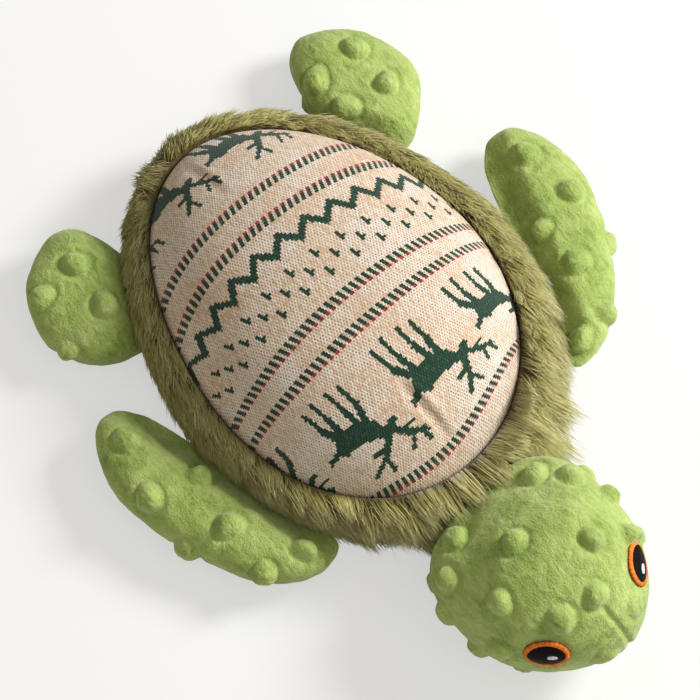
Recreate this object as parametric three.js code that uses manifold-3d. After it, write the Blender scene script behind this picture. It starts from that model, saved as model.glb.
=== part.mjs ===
// Turtle dog toy: a stuffed plush turtle that lies on its belly.
// Millimetres. +Z up, head towards -Y, the turtle's own left towards +X.
// The origin is on the floor under the middle of the toy.
//
// The body is a woven dome sewn to a band of long fur, closed below by a belly panel and
// stuffed round a squeaker. The head hangs on a stuffed neck, and each flipper swings on
// the flattened seam that is sewn into the fur band.
import * as THREE from 'three';
import { mergeVertices } from 'three/addons/utils/BufferGeometryUtils.js';
import Module from 'manifold-3d';

const wasm = await Module();
wasm.setup();

// Cloth and clearance
const gap = 0.3;
const cloth = 1.2;

// Body outline seen from above: an egg that is widest at bodyMiddle
const bodyMiddle = -8;
const bodyHalfWidth = 72;
const bodyFront = 80.5;
const bodyRear = 104.5;
const frontRoundness = 2.05;
const rearRoundness = 1.8;
const bodySteps = 34;

// Body heights
const furWallHeight = 20;
const furTop = 33.6;
const furLip = 8.6;
const furThickness = 5;
const bellyInset = 26;
const shellInset = furLip + gap + 0.4;
const shellEdge = 31;
const shellCrown = 68;
const shellHem = 3.4;
const domeFullness = 2.2;
const domeRoundness = 0.62;
const seamRoom = 1;

// Squeaker, a soft blown bulb with a whistle plugged into its neck
const squeakerPlace = [0, 6, 36];
const bulbRadius = 21;
const bulbHeight = 26;
const bulbWall = 1.4;
const bulbNeckRadius = 7.5;
const bulbNeckLength = 7;
const whistleFlange = 8.2;
const whistleBore = 2.2;
const squeakerSides = 14;

// Neck and head
const neckPivot = [0, -88, 18];
const neckHalfWidth = 24;
const neckHalfHeight = 12;
const headMiddle = [-3.4, -130, 32.5];
const headTurn = THREE.MathUtils.degToRad(6);
const headRoll = THREE.MathUtils.degToRad(8);
const headHalfWidth = 41;
const headHalfHeight = 29.5;
const headNose = 46;
const headRear = 38.4;
const noseRoundness = 2.0;
const headRearRoundness = 3.0;
const headSection = 2.2;
const chinSeam = -18;
const headRings = 6;
const headSides = 20;

// Eyes, embroidered ovals: place along the head and angle round it
const eyeAlong = -0.62;
const eyeAngle = 36;
const eyeLength = 17;
const eyeWidth = 14;
const eyeRim = 1.7;
const eyeThread = 1.0;
const glintThread = 0.6;
const ovalSteps = 6;
const glintLength = 4.2;
const glintWidth = 2.8;
const glintShift = 2;

// Flippers: each outline is in its own frame, out from the seam and along it
const flipperHeight = 14;
const flipperSwell = 10.5;
const flipperBelly = 9.5;
const flipperRoundness = 2.4;
const seamNose = 1.3;
const seamNoseSides = 8;
const seamEndRoom = 2;
const seamTab = 1.0;
const seamTabDepth = 14;
const outlineSteps = 21;
const seamSteps = 3;
const frontFlipper = {
  name: 'front',
  seamStart: [64.9, -54.9],
  seamEnd: [79.6, -7.1],
  centre: [14, 10],
  outline: [[-3.2, -33], [-3.4, -38.5], [3.6, -38.6], [13.1, -31.5], [21.4, -19.6], [26.2, -7.7],
    [29.5, 6.8], [31, 20], [30.2, 35.4], [25, 49], [17.1, 59.1], [9, 63.4], [0.4, 60.8], [-4.4, 51.9],
    [-5.6, 42.5], [-3.8, 33]],
  topBumps: { left: [[11, 49], [22, 28], [4.5, 17], [13, -1], [13.5, -24]],
    right: [[10.5, 48], [23, 27], [6, 16], [17, -5], [9, -29]] },
};
const rearFlipper = {
  name: 'rear',
  seamStart: [64.3, 42.3],
  seamEnd: [46.3, 71.7],
  centre: [20, 8],
  outline: [[10.5, -19.5], [23.4, -17], [34.4, -11.1], [40.8, 0.6], [43, 15], [39, 28], [31.1, 38],
    [21.6, 38.6], [12.8, 31.9], [4.4, 24]],
  topBumps: { left: [[32, 18], [15, 26], [24, -3], [9, 8]],
    right: [[24, 14], [14, -4], [35, 1], [18, 31]] },
};

// Raised dots of the plush
const bumpRadius = 5.2;
const bumpHeight = 3.8;
const bumpRoot = 0.6;
const bumpSides = 6;
const lowestBump = 0.25;
const slopeStep = 1.5;
const headBumps = [[0.57, 67], [0.3, 51], [-0.03, 33], [0.66, 118], [0.26, 97], [-0.24, 69],
  [0.48, 142], [-0.05, 124], [-0.52, 112], [-0.27, 157], [0.2, 167], [-0.82, 66], [-0.9, 141],
  [0.62, 38], [-0.26, 4], [0.3, 14], [-0.3, 188], [0.12, 196]];

const colours = { plush: 0xa5bc62, fur: 0x9a8a52, woven: 0xe1c8af, ring: 0xe17319, pupil: 0x120c0a,
  glint: 0xe6d7dc, stuffing: 0xf2f0ea, squeaker: 0xe9e4d4, whistle: 0xd8d8d8 };
const makeMaterial = (color, roughness) =>
  new THREE.MeshStandardMaterial({ color, roughness, metalness: 0 });
const plush = makeMaterial(colours.plush, 0.95);
const fur = makeMaterial(colours.fur, 1);
const woven = makeMaterial(colours.woven, 0.9);
const orangeThread = makeMaterial(colours.ring, 0.45);
const blackThread = makeMaterial(colours.pupil, 0.4);
const whiteThread = makeMaterial(colours.glint, 0.4);
const stuffing = makeMaterial(colours.stuffing, 1);
const squeakerVinyl = makeMaterial(colours.squeaker, 0.5);
const whistlePlastic = makeMaterial(colours.whistle, 0.35);

// Closed meshes and solids

function closedGeometry(points, faces) {
  const geometry = new THREE.BufferGeometry().setFromPoints(points);
  geometry.setIndex(faces.flat());
  return geometry;
}

// Triangles between rings of equal count; wrap joins the last ring to the first.
function ringFaces(ringCount, sides, wrap) {
  const faces = [];
  const at = (ring, side) => (ring % ringCount) * sides + (side % sides);
  for (let ring = 0; ring < (wrap ? ringCount : ringCount - 1); ring += 1) {
    for (let side = 0; side < sides; side += 1) {
      faces.push([at(ring, side), at(ring, side + 1), at(ring + 1, side + 1)]);
      faces.push([at(ring, side), at(ring + 1, side + 1), at(ring + 1, side)]);
    }
  }
  return faces;
}

// A closed skin over rings, with a point at each end.
function capped(first, rings, last) {
  const sides = rings[0].length;
  const points = [...rings.flat(), first, last];
  const faces = ringFaces(rings.length, sides, false);
  const end = (rings.length - 1) * sides;
  for (let side = 0; side < sides; side += 1) {
    const next = (side + 1) % sides;
    faces.push([points.length - 2, next, side]);
    faces.push([points.length - 1, end + side, end + next]);
  }
  return closedGeometry(points, faces);
}

// A closed band: rings that return to the first one.
function banded(rings) {
  return closedGeometry(rings.flat(), ringFaces(rings.length, rings[0].length, true));
}

// Triangles without the thin ones that merging closed up, turned so that they all face out.
function facingOut(index, position) {
  const corner = (at) => new THREE.Vector3().fromBufferAttribute(position, at);
  const faces = [];
  let volume = 0;
  for (let at = 0; at < index.count; at += 3) {
    const [a, b, c] = [index.getX(at), index.getX(at + 1), index.getX(at + 2)];
    if (a !== b && b !== c && c !== a) {
      faces.push([a, b, c]);
      volume += corner(a).dot(corner(b).cross(corner(c)));
    }
  }
  return volume < 0 ? faces.map(([a, b, c]) => [a, c, b]) : faces;
}

function solid(geometry) {
  const bare = geometry.clone();
  bare.deleteAttribute('normal');
  bare.deleteAttribute('uv');
  const merged = mergeVertices(bare, 1e-4);
  return new wasm.Manifold(new wasm.Mesh({
    numProp: 3,
    vertProperties: Float32Array.from(merged.attributes.position.array),
    triVerts: Uint32Array.from(facingOut(merged.index, merged.attributes.position).flat()),
  }));
}

function named(name, shape, material) {
  const { vertProperties, triVerts } = shape.getMesh();
  const geometry = new THREE.BufferGeometry();
  geometry.setAttribute('position', new THREE.BufferAttribute(vertProperties, 3));
  geometry.setIndex(new THREE.BufferAttribute(triVerts, 1));
  geometry.computeVertexNormals();
  const mesh = new THREE.Mesh(geometry, material);
  mesh.name = name;
  return mesh;
}

function box(low, high) {
  const size = low.map((from, axis) => high[axis] - from);
  const middle = low.map((from, axis) => (from + high[axis]) / 2);
  return solid(new THREE.BoxGeometry(...size).translate(...middle));
}

function ellipsoid(centre, radii, across = 20, up = 12) {
  const ball = new THREE.SphereGeometry(1, across, up);
  return solid(ball.rotateX(Math.PI / 2).scale(...radii).translate(...centre));
}

const signedPower = (value, power) => Math.sign(value) * Math.abs(value) ** power;
const far = 200;

// Body

// The body's outline at a height, drawn in by inset and then shrunk about its middle.
function egg(inset, height, share = 1) {
  const ring = [];
  for (let step = 0; step < bodySteps; step += 1) {
    const angle = (step / bodySteps) * 2 * Math.PI;
    const ahead = Math.sin(angle) < 0;
    const power = 2 / (ahead ? frontRoundness : rearRoundness);
    const length = (ahead ? bodyFront : bodyRear) - inset;
    ring.push(new THREE.Vector3(
      share * (bodyHalfWidth - inset) * signedPower(Math.cos(angle), power),
      bodyMiddle + share * length * signedPower(Math.sin(angle), power),
      height,
    ));
  }
  return ring;
}
const eggs = (profile) => profile.map(([inset, height]) => egg(inset, height));
const bodyCentre = (height) => new THREE.Vector3(0, bodyMiddle, height);

// Moves a profile of [inset, height] points sideways, towards the stuffing.
function drawnIn(profile, distance) {
  return profile.map((point, index) => {
    const before = profile[Math.max(index - 1, 0)];
    const after = profile[Math.min(index + 1, profile.length - 1)];
    const [inward, upward] = [after[0] - before[0], after[1] - before[1]];
    const run = Math.hypot(inward, upward);
    return [point[0] + (distance * upward) / run, point[1] - (distance * inward) / run];
  });
}

// Outside of the fur band, from the belly seam round to the lip at the woven dome
const furProfile = [[bellyInset, 0], [18, 0.5], [10, 3.2], [3.6, 8.5], [0.4, 15], [0, furWallHeight],
  [1.2, 27], [4.2, 32.2], [furLip, furTop]];
const furInside = drawnIn(furProfile, furThickness);
furInside.at(-1)[0] = furLip;

// Height of the dome's outside at a share of the way from its middle to its edge.
const domeRise = (share) => (1 - share ** domeFullness) ** domeRoundness;
const domeShares = [0.95, 0.84, 0.68, 0.46, 0.22];
const domeRings = (inset, edge, crown) =>
  [1, ...domeShares].map((share) => egg(inset, edge + (crown - edge) * domeRise(share), share));

function makeShellCover() {
  const hem = shellEdge - shellHem;
  const outside = domeRings(shellInset, shellEdge, shellCrown).reverse();
  const inside = domeRings(shellInset + cloth, shellEdge - cloth / 2, shellCrown - cloth);
  return solid(capped(
    bodyCentre(shellCrown),
    [...outside, egg(shellInset, hem), egg(shellInset + cloth, hem), ...inside],
    bodyCentre(shellCrown - cloth),
  ));
}

function makeBellyPanel() {
  const rim = bellyInset + gap;
  return solid(capped(bodyCentre(0), [egg(rim, 0), egg(rim, cloth)], bodyCentre(cloth)));
}

function makeBodyFilling() {
  const hem = shellEdge - shellHem - gap;
  const floor = cloth + gap;
  const isWall = ([, height]) => height > floor + seamRoom && height < hem - seamRoom;
  const wall = drawnIn(furProfile, furThickness + gap).filter(isWall);
  const under = egg(bellyInset + 2 * gap, floor);
  const domeInset = shellInset + cloth + gap;
  const crown = shellCrown - cloth - gap;
  const dome = domeRings(domeInset, shellEdge - cloth / 2 - gap, crown);
  const hems = [egg(shellInset, hem), egg(domeInset, hem)];
  return solid(capped(bodyCentre(floor), [under, ...eggs(wall), ...hems, ...dome], bodyCentre(crown)));
}

// Squeaker: profiles are [radius, height] from its own middle, neck down.
function bulbProfile(radius, halfHeight, neck, mouth) {
  const points = [];
  const steps = 6;
  const neckAngle = Math.asin(neck / radius);
  for (let step = 0; step <= steps; step += 1) {
    const angle = (step / steps) * (Math.PI - neckAngle);
    points.push(new THREE.Vector2(radius * Math.sin(angle), halfHeight * Math.cos(angle)));
  }
  points[0].x = 0;
  points.push(new THREE.Vector2(neck, mouth));
  return points;
}
const bulbMouth = -bulbHeight / 2 - bulbNeckLength;

function turnedSqueaker(profile) {
  const geometry = new THREE.LatheGeometry(profile, squeakerSides);
  return solid(geometry.rotateX(Math.PI / 2).translate(...squeakerPlace));
}

function makeSqueakerBulb() {
  const outer = bulbProfile(bulbRadius, bulbHeight / 2, bulbNeckRadius, bulbMouth);
  const bore = bulbNeckRadius - bulbWall;
  const inner = bulbProfile(bulbRadius - bulbWall, bulbHeight / 2 - bulbWall, bore, bulbMouth);
  return turnedSqueaker([...outer, ...inner.reverse()]);
}

// The whistle: a plug in the neck under a flange, with a blow hole.
function makeSqueakerWhistle() {
  const plug = bulbNeckRadius - bulbWall - gap;
  const top = bulbMouth + bulbNeckLength - cloth;
  const lip = bulbMouth - gap;
  const foot = lip - cloth;
  const profile = [[whistleBore, foot], [whistleFlange, foot], [whistleFlange, lip], [plug, lip],
    [plug, top], [whistleBore, top], [whistleBore, foot]];
  return turnedSqueaker(profile.map((point) => new THREE.Vector2(...point)));
}

// The room that the squeaker takes in the stuffing, open to the belly panel.
function squeakerPocket() {
  const [x, y, z] = squeakerPlace;
  const whistleRoom = whistleFlange + 2 * gap;
  const neck = bulbNeckRadius + gap;
  const outer = bulbProfile(bulbRadius + gap, bulbHeight / 2 + gap, neck, bulbMouth);
  const bulb = turnedSqueaker([...outer, new THREE.Vector2(0, bulbMouth)]);
  const depth = z + bulbMouth;
  const shaft = new THREE.CylinderGeometry(whistleRoom, whistleRoom, depth, squeakerSides);
  return bulb.add(solid(shaft.rotateX(Math.PI / 2).translate(x, y, depth / 2)));
}

// Neck: turns about the vertical in the body, and nods about a cross axis in the head.
function makeNeck() {
  const [x, y, z] = neckPivot;
  const behind = box([-far, y, -far], [far, far, far]);
  const ahead = box([-far, -far, -far], [far, y, far]);
  const turning = ellipsoid([x, y, z], [neckHalfWidth, neckHalfWidth, neckHalfHeight]);
  const nodding = ellipsoid([x, y, z], [neckHalfWidth, neckHalfHeight, neckHalfHeight]);
  return turning.intersect(behind).add(nodding.intersect(ahead));
}
const neckSocket = (halfLength) =>
  ellipsoid(neckPivot, [neckHalfWidth + gap, halfLength + gap, neckHalfHeight + gap]);

// Head, in its own frame: nose towards -Y, middle at zero.

// A point of the head at a place along it (-1 nose, 1 neck) and an angle round it, grown by a wall.
function headPoint(along, degrees, grow = 0) {
  const roundness = along < 0 ? noseRoundness : headRearRoundness;
  const width = (1 - Math.abs(along) ** roundness) ** (1 / roundness);
  const angle = THREE.MathUtils.degToRad(degrees);
  return new THREE.Vector3(
    (headHalfWidth + grow) * width * signedPower(Math.cos(angle), 2 / headSection),
    ((along < 0 ? headNose : headRear) + grow) * along,
    (headHalfHeight + grow) * width * signedPower(Math.sin(angle), 2 / headSection),
  );
}

function headForm(grow) {
  const rings = [];
  for (let ring = 1; ring < 2 * headRings; ring += 1) {
    const along = -Math.cos((ring / (2 * headRings)) * Math.PI);
    const points = [];
    for (let side = 0; side < headSides; side += 1) {
      points.push(headPoint(along, (side / headSides) * 360, grow));
    }
    rings.push(points);
  }
  return solid(capped(headPoint(-1, 0, grow), rings, headPoint(1, 0, grow)));
}

// Outward direction of the head's skin at a place.
function headNormal(along, degrees) {
  const step = 0.01;
  const lengthwise = headPoint(along + step, degrees).sub(headPoint(along - step, degrees));
  const round = headPoint(along, degrees + 1).sub(headPoint(along, degrees - 1));
  return lengthwise.cross(round).normalize();
}

const headGroup = new THREE.Group();
headGroup.position.set(...headMiddle);
headGroup.rotation.set(0, -headRoll, headTurn, 'ZYX');
headGroup.updateMatrix();
const intoHead = headGroup.matrix.clone().invert();
const inHeadFrame = (shape) => shape.transform(intoHead.elements);

// A raised dot of the plush, standing on a surface point along its normal.
function bump(place, normal) {
  const shoulder = [0.72 * bumpRadius, 0.8 * bumpHeight];
  const profile = [[0, -bumpRoot], [bumpRadius, -bumpRoot], shoulder, [0, bumpHeight]];
  const points = profile.map((point) => new THREE.Vector2(...point));
  const geometry = new THREE.LatheGeometry(points, bumpSides);
  const turn = new THREE.Quaternion().setFromUnitVectors(new THREE.Vector3(0, 1, 0), normal);
  return solid(geometry.applyQuaternion(turn).translate(place.x, place.y, place.z));
}

function withHeadBumps(cover, places) {
  return places.reduce((shape, [along, degrees]) =>
    shape.add(bump(headPoint(along, degrees), headNormal(along, degrees))), cover);
}

function addHead() {
  const socket = inHeadFrame(neckSocket(neckHalfHeight));
  const skin = headForm(0).subtract(headForm(-cloth)).subtract(socket);
  const aboveChin = skin.intersect(box([-far, -far, chinSeam + gap / 2], [far, far, far]));
  const belowChin = skin.intersect(box([-far, -far, -far], [far, far, chinSeam - gap / 2]));
  const sides = {
    left: box([gap / 2, -far, -far], [far, far, far]),
    right: box([-far, -far, -far], [-gap / 2, far, far]),
  };
  const isLeft = ([along, degrees]) => headPoint(along, degrees).x > 0;
  for (const [side, half] of Object.entries(sides)) {
    const clearOfSeam = headBumps.filter((place) => isLeft(place) === (side === 'left')
      && Math.abs(headPoint(...place).x) > bumpRadius);
    const cover = withHeadBumps(aboveChin.intersect(half), clearOfSeam);
    headGroup.add(named(`head_cover_${side}`, cover, plush));
  }
  headGroup.add(named('chin_panel', belowChin, plush));
  headGroup.add(named('head_filling', headForm(-cloth - gap).subtract(socket), stuffing));
  addEye('left', eyeAngle);
  addEye('right', 180 - eyeAngle);
}

// A prism of oval section, long across the slope, that passes through the head's skin.
function ovalPrism(length, width, place, normal, shift = 0) {
  const oval = new THREE.Shape().absellipse(shift, 0, length / 2, width / 2, 0, 2 * Math.PI);
  const settings = { depth: eyeLength, bevelEnabled: false, curveSegments: ovalSteps };
  const geometry = new THREE.ExtrudeGeometry(oval, settings);
  const side = new THREE.Vector3(0, 0, 1).cross(normal).normalize();
  const rise = normal.clone().cross(side);
  const turn = new THREE.Matrix4().makeBasis(side, rise, normal).setPosition(place);
  return solid(geometry.translate(0, 0, -eyeLength / 2).applyMatrix4(turn));
}

function addEye(side, degrees) {
  const place = headPoint(eyeAlong, degrees);
  const normal = headNormal(eyeAlong, degrees);
  const layer = (low, high) => headForm(high).subtract(headForm(low));
  const thread = layer(gap, gap + eyeThread);
  const raised = layer(2 * gap + eyeThread, 2 * gap + eyeThread + glintThread);
  const pupilSize = [eyeLength - 2 * eyeRim, eyeWidth - 2 * eyeRim];
  const hole = ovalPrism(pupilSize[0] + 2 * gap, pupilSize[1] + 2 * gap, place, normal);
  const ring = ovalPrism(eyeLength, eyeWidth, place, normal).subtract(hole).intersect(thread);
  const pupil = ovalPrism(...pupilSize, place, normal).intersect(thread);
  const towardsNose = side === 'left' ? -glintShift : glintShift;
  const glint = ovalPrism(glintLength, glintWidth, place, normal, towardsNose).intersect(raised);
  headGroup.add(named(`eye_ring_${side}`, ring, orangeThread));
  headGroup.add(named(`eye_pupil_${side}`, pupil, blackThread));
  headGroup.add(named(`eye_glint_${side}`, glint, whiteThread));
}

// Flippers

// Where a flipper's frame stands: x out from its seam, y along it, mirrored on the right.
function flipperFrame(kind, side) {
  const start = new THREE.Vector2(...kind.seamStart);
  const end = new THREE.Vector2(...kind.seamEnd);
  const middle = start.clone().add(end).multiplyScalar(0.5);
  const along = end.clone().sub(start);
  const sign = side === 'left' ? 1 : -1;
  const turn = Math.atan2(-along.x, along.y);
  const group = new THREE.Group();
  group.position.set(sign * middle.x, middle.y, flipperHeight);
  group.rotation.z = side === 'left' ? turn : Math.PI - turn;
  group.updateMatrix();
  return { group, sign, halfSeam: along.length() / 2 };
}

// The outline in the flipper's frame, evenly spaced, drawn in by inset.
function flipperOutline(kind, frame, inset) {
  const corner = frame.halfSeam;
  const corners = [[0, -corner], ...kind.outline, [0, corner]];
  const spline = new THREE.SplineCurve(corners.map((point) => new THREE.Vector2(...point)));
  const curve = spline.getSpacedPoints(outlineSteps - seamSteps);
  for (let step = 1; step < seamSteps; step += 1) {
    curve.push(new THREE.Vector2(0, corner * (1 - (2 * step) / seamSteps)));
  }
  return curve.map((point, index) => {
    const before = curve[(index + curve.length - 1) % curve.length];
    const after = curve[(index + 1) % curve.length];
    const run = after.clone().sub(before).normalize();
    return new THREE.Vector3(point.x - inset * run.y, frame.sign * (point.y + inset * run.x), 0);
  });
}

// A stuffed form over an outline: it swells up and down from the seam.
const swellShares = [0.93, 0.74, 0.42];
const swellRise = (share) => (1 - share ** flipperRoundness) ** (1 / flipperRoundness);

function flipperForm(kind, frame, inset) {
  const edge = flipperOutline(kind, frame, inset);
  const centre = new THREE.Vector3(kind.centre[0], frame.sign * kind.centre[1], 0);
  const ring = (share, rise) => edge.map((point) => point.clone().lerp(centre, 1 - share).setZ(rise));
  const rings = (height) => swellShares.map((share) => ring(share, height * swellRise(share)));
  const top = flipperSwell - inset;
  const bottom = inset - flipperBelly;
  const skin = [...rings(top).reverse(), edge, ...rings(bottom)];
  return solid(capped(centre.clone().setZ(top), skin, centre.clone().setZ(bottom)));
}

// Height of the stuffed form at a point, from its share of the way to the edge.
function flipperRise(kind, frame, x, y) {
  const edge = flipperOutline(kind, frame, 0);
  const [cx, cy] = [kind.centre[0], frame.sign * kind.centre[1]];
  const ray = new THREE.Vector2(x - cx, y - cy);
  let share = 0;
  edge.forEach((from, index) => {
    const to = edge[(index + 1) % edge.length];
    const [ax, ay, bx, by] = [from.x - cx, from.y - cy, to.x - from.x, to.y - from.y];
    const det = ray.x * by - ray.y * bx;
    const reach = (ax * by - ay * bx) / det;
    const across = (ax * ray.y - ay * ray.x) / det;
    if (reach > 0 && across >= 0 && across <= 1) share = 1 / reach;
  });
  return share < 1 ? swellRise(share) : -1;
}

// A dot on the upper skin, left out where it would reach the edge.
function flipperBump(kind, frame, [x, along]) {
  const y = frame.sign * along;
  const at = (dx, dy) => flipperRise(kind, frame, x + dx, y + dy);
  const around = [[bumpRadius, 0], [-bumpRadius, 0], [0, bumpRadius], [0, -bumpRadius]];
  if (Math.min(...around.map((offset) => at(...offset))) < lowestBump) return null;
  const slope = flipperSwell / (2 * slopeStep);
  const slopeX = slope * (at(slopeStep, 0) - at(-slopeStep, 0));
  const slopeY = slope * (at(0, slopeStep) - at(0, -slopeStep));
  const normal = new THREE.Vector3(-slopeX, -slopeY, 1).normalize();
  return bump(new THREE.Vector3(x, y, flipperSwell * at(0, 0)), normal);
}

function addFlipper(root, kind, side) {
  const frame = flipperFrame(kind, side);
  const noseLength = 2 * (frame.halfSeam - seamEndRoom);
  const nose = solid(new THREE.CylinderGeometry(seamNose, seamNose, noseLength, seamNoseSides));
  const form = flipperForm(kind, frame, 0).add(nose);
  const hollow = flipperForm(kind, frame, cloth);
  const skin = form.subtract(hollow);
  const upper = skin.intersect(box([-far, -far, gap / 2], [far, far, far]));
  const lower = skin.intersect(box([-far, -far, -far], [far, far, -gap / 2]));
  const dots = kind.topBumps[side].map((place) => flipperBump(kind, frame, place)).filter(Boolean);
  const dotted = dots.reduce((shape, dot) => shape.add(dot), upper);
  frame.group.add(named(`${kind.name}_${side}_top_panel`, dotted, plush));
  frame.group.add(named(`${kind.name}_${side}_under_panel`, lower, plush));
  const filling = flipperForm(kind, frame, cloth + gap);
  frame.group.add(named(`${kind.name}_${side}_filling`, filling, stuffing));
  root.add(frame.group);
}

// The flattened seam allowance between a flipper and the fur band, grown by a clearance
// for its slot.
function seamPlate(kind, side, grow) {
  const frame = flipperFrame(kind, side);
  const half = frame.halfSeam - seamEndRoom + grow;
  const outer = -seamNose - gap + grow;
  const plate = box([-seamTabDepth - grow, -half, -seamTab - grow], [outer, half, seamTab + grow]);
  return plate.transform(frame.group.matrix.elements);
}

// Assembly
const toy = new THREE.Group();
const kinds = [frontFlipper, rearFlipper];
const sides = ['left', 'right'];
const socket = neckSocket(neckHalfWidth);
const [floorLine, crownLine] = [egg(furThickness, -gap), egg(furThickness, shellCrown)];
const insideFur = solid(capped(bodyCentre(-gap), [floorLine, crownLine], bodyCentre(shellCrown)));
const furBand = solid(banded([...eggs(furProfile), ...eggs(furInside).reverse()]));

let furTrim = furBand.subtract(socket);
for (const kind of kinds) {
  for (const side of sides) {
    furTrim = furTrim.subtract(seamPlate(kind, side, gap));
    const tab = seamPlate(kind, side, 0).subtract(insideFur);
    toy.add(named(`${kind.name}_${side}_seam_tab`, tab, plush));
    addFlipper(toy, kind, side);
  }
}
toy.add(named('shell_cover', makeShellCover().subtract(socket), woven));
toy.add(named('fur_trim', furTrim, fur));
toy.add(named('belly_panel', makeBellyPanel(), plush));
const bodyFilling = makeBodyFilling().subtract(squeakerPocket()).subtract(socket);
toy.add(named('body_filling', bodyFilling, stuffing));
toy.add(named('squeaker_bulb', makeSqueakerBulb(), squeakerVinyl));
toy.add(named('squeaker_whistle', makeSqueakerWhistle(), whistlePlastic));
toy.add(named('neck_filling', makeNeck(), plush));
addHead();
toy.add(headGroup);

export default toy;
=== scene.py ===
# Turtle dog toy: the plush skins, long fur, woven shell and stitched eyes, put round the packed
# solids. Metres in Blender, millimetres in the shape functions. +Z up, head towards -Y.
import math

import bpy
import numpy as np
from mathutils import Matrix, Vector, noise


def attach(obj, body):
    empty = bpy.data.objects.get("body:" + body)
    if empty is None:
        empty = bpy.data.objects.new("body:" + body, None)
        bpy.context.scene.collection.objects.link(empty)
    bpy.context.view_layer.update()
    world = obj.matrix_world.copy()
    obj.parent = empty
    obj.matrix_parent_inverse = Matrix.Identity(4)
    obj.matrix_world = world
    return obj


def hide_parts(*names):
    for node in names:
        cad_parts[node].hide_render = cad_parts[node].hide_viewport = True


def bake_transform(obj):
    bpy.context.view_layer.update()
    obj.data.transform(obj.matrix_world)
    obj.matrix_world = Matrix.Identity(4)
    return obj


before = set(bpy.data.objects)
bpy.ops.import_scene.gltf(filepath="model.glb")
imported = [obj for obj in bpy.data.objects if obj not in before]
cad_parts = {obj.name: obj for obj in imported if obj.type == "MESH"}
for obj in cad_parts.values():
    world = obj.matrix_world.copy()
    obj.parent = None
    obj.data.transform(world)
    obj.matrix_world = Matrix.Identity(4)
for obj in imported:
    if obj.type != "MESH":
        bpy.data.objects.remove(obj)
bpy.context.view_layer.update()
MM = 0.001

# Camera: the photograph's angle, and the width that it shows
CAMERA_AZIMUTH = math.radians(-38.1)
CAMERA_ELEVATION = math.radians(68.0)
CAMERA_DISTANCE = 2.0
CAMERA_AIM = Vector((-0.0052, -0.0112, 0.020))
FRAME_WIDTH = 0.2707


def make_camera():
    back = Vector((
        math.sin(CAMERA_AZIMUTH) * math.cos(CAMERA_ELEVATION),
        -math.cos(CAMERA_AZIMUTH) * math.cos(CAMERA_ELEVATION),
        math.sin(CAMERA_ELEVATION),
    ))
    bpy.ops.object.camera_add(location=CAMERA_AIM + back * CAMERA_DISTANCE)
    camera = bpy.context.object
    camera.rotation_euler = (-back).to_track_quat("-Z", "Y").to_euler()
    camera.data.angle = 2 * math.atan(FRAME_WIDTH / 2 / CAMERA_DISTANCE)
    camera.data.clip_end = 20
    bpy.context.scene.camera = camera


make_camera()


# Shader maths: an expression on sockets adds the nodes that work it out

def maths(operation):
    """A method that adds the node for one operation on a value and on what it is given."""
    def work(value, *others):
        return value.paint.number("ShaderNodeMath", {"operation": operation}, [value, *others])
    return work


class Value:
    """A number that varies over a surface, held as a node's output socket."""

    __add__ = maths("ADD")
    __sub__ = maths("SUBTRACT")
    __mul__ = maths("MULTIPLY")
    __truediv__ = maths("DIVIDE")
    __lt__ = maths("LESS_THAN")
    absolute = maths("ABSOLUTE")
    floor = maths("FLOOR")
    least = maths("MINIMUM")
    most = maths("MAXIMUM")

    def __init__(self, paint, socket):
        self.paint = paint
        self.socket = socket

    def __rsub__(self, other):
        return self.paint.number("ShaderNodeMath", {"operation": "SUBTRACT"}, [other, self])

    def cell(self, pitch):
        """Place within a repeat of that pitch, from -0.5 to 0.5 of it, in the pitch's units."""
        return self - (self / pitch + 0.5).floor() * pitch

    def ramp(self, low, high):
        """0 below low, 1 above high and smooth between; low may be the larger."""
        return self.paint.number(
            "ShaderNodeMapRange",
            {"interpolation_type": "SMOOTHSTEP"},
            {"Value": self, "From Min": low, "From Max": high},
        )


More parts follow.
